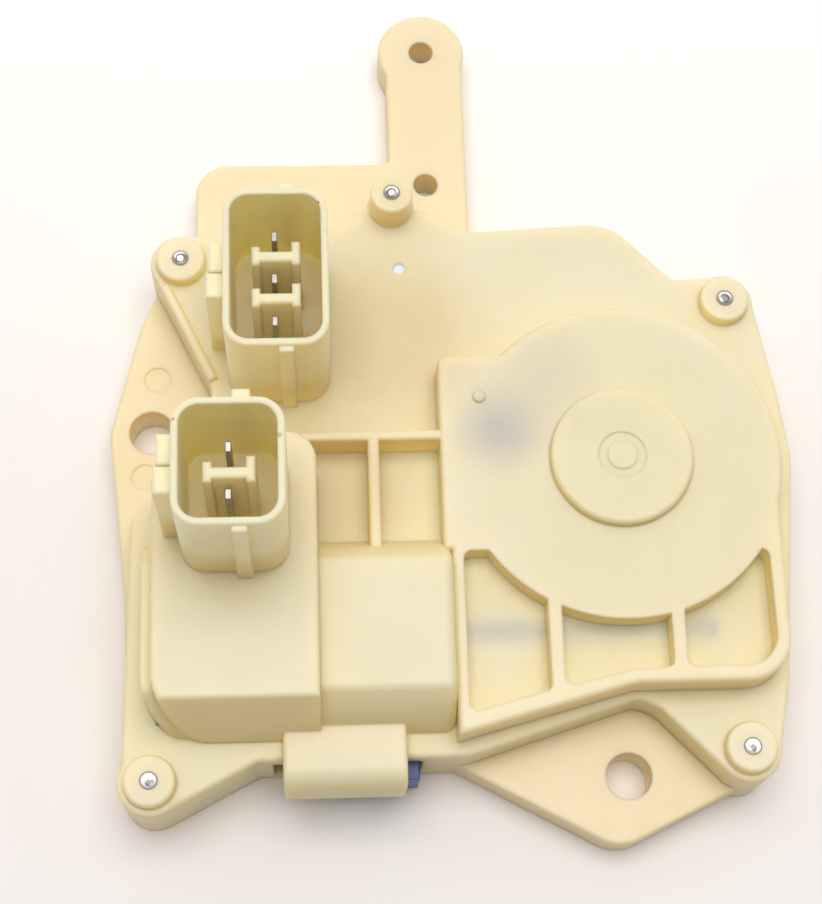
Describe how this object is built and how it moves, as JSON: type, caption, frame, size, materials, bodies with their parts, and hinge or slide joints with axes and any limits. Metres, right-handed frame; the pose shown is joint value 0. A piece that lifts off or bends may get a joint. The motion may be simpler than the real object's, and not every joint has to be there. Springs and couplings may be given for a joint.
{
  "type": "door latch actuator",
  "caption": "Electric door lock actuator in a cream two-piece plastic housing, with a worm gear train, a sliding blue lock output, two plug sockets and mounting ears.",
  "frame": {"origin": "centre of the lower mounting hole, in the plane of the rear face", "axes": "+Z from the rear face to the mouths of the plug sockets, +X to the right and +Y towards the arm, as the picture is seen"},
  "size_m": [0.1025, 0.1363, 0.049],
  "materials": {
    "cover_plastic": "satin, slightly translucent natural plastic",
    "case_plastic": "satin, slightly translucent natural plastic",
    "zinc_steel": "bright zinc",
    "plated_steel": "plated sheet",
    "dark_plastic": "moulded",
    "bronze": "plain",
    "ferrite": "ground",
    "bright_steel": "ground",
    "lamination_steel": "stamped",
    "copper_wire": "enamelled wire",
    "copper_bars": "turned",
    "carbon": "pressed",
    "worm_plastic": "moulded",
    "wheel_plastic": "moulded",
    "blue_plastic": "moulded",
    "terminal_metal": "tinned",
    "spring_steel": "drawn wire",
    "bumper_rubber": "moulded"
  },
  "bodies": {
    "housing": {"front_cover": "cover_plastic", "rear_case": "case_plastic", "case_screws": "zinc_steel", "motor_can": "plated_steel", "motor_end_cap": "dark_plastic", "motor_bushes": "bronze", "motor_magnets": "ferrite", "motor_brushes": "carbon", "wheel_axle": "bright_steel", "lever_pivot_pin": "bright_steel", "contact_plate": "dark_plastic", "switch_terminal_1": "terminal_metal", "switch_terminal_2": "terminal_metal", "switch_terminal_3": "terminal_metal", "motor_feed_1": "terminal_metal", "motor_feed_2": "terminal_metal", "motor_tabs": "terminal_metal", "centring_spring": "spring_steel", "stop_bumpers": "bumper_rubber"},
    "wheel": {"worm_wheel": "wheel_plastic"},
    "rotor": {"motor_shaft": "bright_steel", "armature_core": "lamination_steel", "armature_coils": "copper_wire", "commutator": "copper_bars", "worm": "worm_plastic"},
    "lever": {"lock_lever": "blue_plastic", "switch_wiper": "bronze"},
    "slider": {"lock_slider": "blue_plastic"}
  },
  "joints": [
    {"name": "wheel_turn", "type": "hinge", "parent": "housing", "child": "wheel", "pos_m": [0, 0.0445, 0], "axis": [0, 0, 1], "range_deg": [0, 50]},
    {"name": "rotor_turn", "type": "hinge", "parent": "housing", "child": "rotor", "pos_m": [0, 0.0199, 0.0111], "axis": [1, 0, 0], "range_deg": [-2400, 0]},
    {"name": "lever_swing", "type": "hinge", "parent": "housing", "child": "lever", "pos_m": [-0.022, 0.0567, 0], "axis": [0, 0, 1], "range_deg": [-12.5, 0]},
    {"name": "slider_travel", "type": "slide", "parent": "housing", "child": "slider", "axis": [1, 0, 0], "range_m": [-0.0101, 0]}
  ],
  "couplings": [
    {"joint": "rotor_turn", "follows": "wheel_turn", "ratio": -48},
    {"joint": "lever_swing", "follows": "wheel_turn", "ratio": -0.25},
    {"joint": "slider_travel", "follows": "wheel_turn", "m_per_rad": -0.0115}
  ]
}
